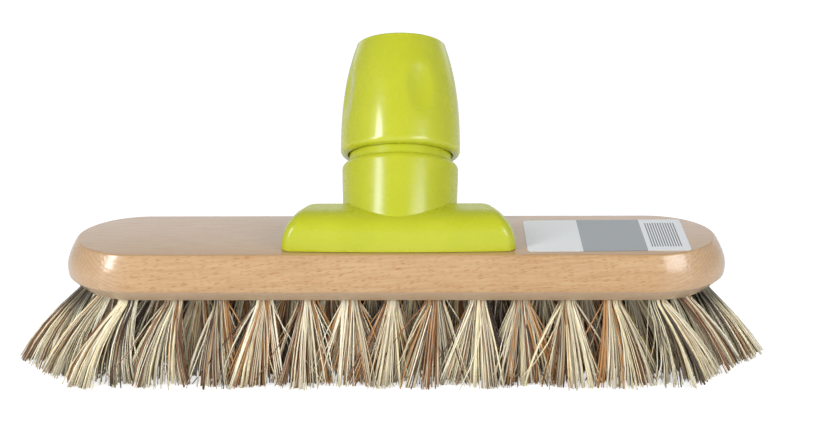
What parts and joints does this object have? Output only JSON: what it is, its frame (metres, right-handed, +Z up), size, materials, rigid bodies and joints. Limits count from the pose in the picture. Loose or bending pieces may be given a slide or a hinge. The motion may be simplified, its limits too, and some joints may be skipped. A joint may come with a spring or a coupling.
{
  "type": "deck brush head",
  "caption": "Deck brush head: oblong beech block with bristle tufts and a leaning plastic socket whose screw collar clamps a handle.",
  "frame": {"origin": "on the working plane, at the tip of the bristle under the block's middle", "axes": "+X along the block, to the right in the picture; +Y to the side that the socket leans to, away from the camera; +Z up, from the bristle tips to the block"},
  "size_m": [0.3144, 0.0893, 0.1402],
  "materials": {
    "beech": "clear satin lacquer",
    "bristle_fibre": "matt natural fibre, cream and brown mixed",
    "lime_plastic": "glossy moulded",
    "clamp_plastic": "matt moulded",
    "screw_steel": "bright zinc",
    "label_paper": "smooth coated sticker"
  },
  "bodies": {
    "brush": {"wood_block": "beech", "bristle_row_1": "bristle_fibre", "bristle_row_2": "bristle_fibre", "bristle_row_3": "bristle_fibre", "bristle_row_4": "bristle_fibre", "bristle_row_5": "bristle_fibre", "socket_base": "lime_plastic", "flange_screw_1": "screw_steel", "flange_screw_2": "screw_steel", "flange_screw_3": "screw_steel", "flange_screw_4": "screw_steel", "label_sticker": "label_paper"},
    "collet": {"clamp_collet": "clamp_plastic"},
    "collar": {"screw_collar": "lime_plastic"}
  },
  "joints": [
    {"name": "collet_slide", "type": "slide", "parent": "brush", "child": "collet", "axis": [0, 0.5, 0.866], "range_m": [-0.0025, 0.01]},
    {"name": "collar_twist", "type": "hinge", "parent": "collet", "child": "collar", "pos_m": [0.0022, 0.03025, 0.10916], "axis": [0, 0.5, 0.866], "range_deg": [-180, 720]}
  ],
  "couplings": [
    {"joint": "collar_twist", "follows": "collet_slide", "rad_per_m": 1256.6}
  ]
}
